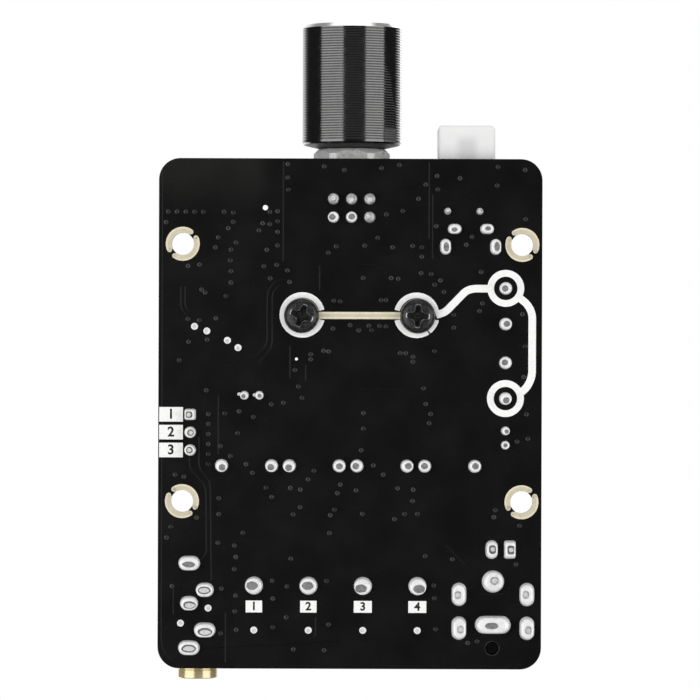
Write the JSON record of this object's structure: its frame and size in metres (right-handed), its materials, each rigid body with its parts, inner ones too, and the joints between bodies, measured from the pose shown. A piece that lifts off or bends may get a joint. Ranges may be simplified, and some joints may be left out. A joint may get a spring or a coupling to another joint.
{
  "type": "audio amplifier board",
  "caption": "Stereo audio amplifier board with a volume knob, push button, finned heatsink, output inductors, screw terminals and power and audio sockets.",
  "frame": {"origin": "centre of the mounting holes, on the underside of the board", "axes": "+Z to the component side, -Y to the knob, +Y to the sockets, +X to the power socket side"},
  "size_m": [0.0537, 0.0922, 0.0206],
  "materials": {
    "solder_mask": "black solder mask",
    "gold_plate": "satin gold plating",
    "solder": "bright solder",
    "white_ink": "printed ink",
    "black_anodised": "black anodised",
    "black_screw": "black oxide",
    "thermal_pad": "soft pad",
    "chip_epoxy": "moulded epoxy",
    "tinned_lead": "tinned",
    "plated_steel": "nickel plated",
    "pot_plastic": "moulded",
    "phenolic": "phenolic board",
    "ivory_plastic": "moulded",
    "shaft_metal": "turned",
    "knob_metal": "black anodised, turned grooves",
    "milky_plastic": "translucent white",
    "white_plastic": "moulded",
    "black_plastic": "moulded",
    "lamp_epoxy": "clear epoxy",
    "ferrite": "pressed ferrite",
    "can_metal": "drawn can",
    "sleeve_film": "shrink film",
    "small_can": "shrink film",
    "green_plastic": "moulded",
    "brass_metal": "bright",
    "gold_ferrule": "polished gold plating",
    "natural_nylon": "moulded",
    "chip_ceramic": "fired ceramic"
  },
  "bodies": {
    "board": {"circuit_board": "solder_mask", "gold_lands": "gold_plate", "solder_joints": "solder", "white_print": "white_ink", "heatsink": "black_anodised", "heatsink_screws": "black_screw", "thermal_pad": "thermal_pad", "amplifier_chip": "chip_epoxy", "amplifier_chip_legs": "tinned_lead", "pot_bushing_plate": "plated_steel", "pot_cases": "pot_plastic", "pot_wafers": "phenolic", "pot_back_plate": "plated_steel", "pot_terminals": "tinned_lead", "pot_washer": "plated_steel", "pot_nut": "plated_steel", "switch_housing": "black_plastic", "switch_frame": "plated_steel", "switch_dome": "plated_steel", "switch_terminals": "tinned_lead", "indicator_lamp": "lamp_epoxy", "inductor_1": "ferrite", "inductor_2": "ferrite", "inductor_3": "ferrite", "inductor_4": "ferrite", "bulk_capacitor_1": "can_metal", "bulk_capacitor_2": "can_metal", "bulk_capacitor_sleeves": "sleeve_film", "small_capacitor_1": "small_can", "small_capacitor_2": "small_can", "passive_leads": "tinned_lead", "terminal_housing": "green_plastic", "terminal_contacts": "tinned_lead", "dc_jack_housing": "black_plastic", "dc_jack_shield": "plated_steel", "dc_jack_pin": "plated_steel", "dc_jack_spring": "brass_metal", "audio_jack_housing": "black_plastic", "audio_jack_ferrule": "gold_ferrule", "audio_jack_contacts": "tinned_lead", "input_header": "natural_nylon", "power_header": "natural_nylon", "header_pins": "tinned_lead", "small_chips": "chip_epoxy", "crystal_can": "plated_steel", "chip_passives": "chip_ceramic"},
    "knob": {"knob": "knob_metal", "knob_bush": "ivory_plastic", "pot_shaft": "shaft_metal", "pot_rotor": "ivory_plastic"},
    "button": {"button_cap": "milky_plastic", "switch_plunger": "white_plastic"},
    "screw_1": {"terminal_screw_1": "plated_steel"},
    "clamp_1": {"terminal_clamp_1": "brass_metal"},
    "screw_2": {"terminal_screw_2": "plated_steel"},
    "clamp_2": {"terminal_clamp_2": "brass_metal"},
    "screw_3": {"terminal_screw_3": "plated_steel"},
    "clamp_3": {"terminal_clamp_3": "brass_metal"},
    "screw_4": {"terminal_screw_4": "plated_steel"},
    "clamp_4": {"terminal_clamp_4": "brass_metal"}
  },
  "joints": [
    {"name": "knob_turn", "type": "hinge", "parent": "board", "child": "knob", "pos_m": [-0.00015, -0.04, 0.0081], "axis": [0, 1, 0], "range_deg": [-140, 140]},
    {"name": "button_press", "type": "slide", "parent": "board", "child": "button", "axis": [0, 1, 0], "range_m": [0, 0.00025], "stiffness_N_per_m": 6000},
    {"name": "screw_1_turn", "type": "hinge", "parent": "board", "child": "screw_1", "pos_m": [-0.01363, 0.0332, 0.012], "axis": [0, 0, -1], "range_deg": [0, 1800]},
    {"name": "clamp_1_rise", "type": "slide", "parent": "board", "child": "clamp_1", "axis": [0, 0, 1], "range_m": [0, 0.0025]},
    {"name": "screw_2_turn", "type": "hinge", "parent": "board", "child": "screw_2", "pos_m": [-0.00601, 0.0332, 0.012], "axis": [0, 0, -1], "range_deg": [0, 1800]},
    {"name": "clamp_2_rise", "type": "slide", "parent": "board", "child": "clamp_2", "axis": [0, 0, 1], "range_m": [0, 0.0025]},
    {"name": "screw_3_turn", "type": "hinge", "parent": "board", "child": "screw_3", "pos_m": [0.00161, 0.0332, 0.012], "axis": [0, 0, -1], "range_deg": [0, 1800]},
    {"name": "clamp_3_rise", "type": "slide", "parent": "board", "child": "clamp_3", "axis": [0, 0, 1], "range_m": [0, 0.0025]},
    {"name": "screw_4_turn", "type": "hinge", "parent": "board", "child": "screw_4", "pos_m": [0.00923, 0.0332, 0.012], "axis": [0, 0, -1], "range_deg": [0, 1800]},
    {"name": "clamp_4_rise", "type": "slide", "parent": "board", "child": "clamp_4", "axis": [0, 0, 1], "range_m": [0, 0.0025]}
  ],
  "couplings": [
    {"joint": "screw_1_turn", "follows": "clamp_1_rise", "rad_per_m": 12566},
    {"joint": "screw_2_turn", "follows": "clamp_2_rise", "rad_per_m": 12566},
    {"joint": "screw_3_turn", "follows": "clamp_3_rise", "rad_per_m": 12566},
    {"joint": "screw_4_turn", "follows": "clamp_4_rise", "rad_per_m": 12566}
  ]
}
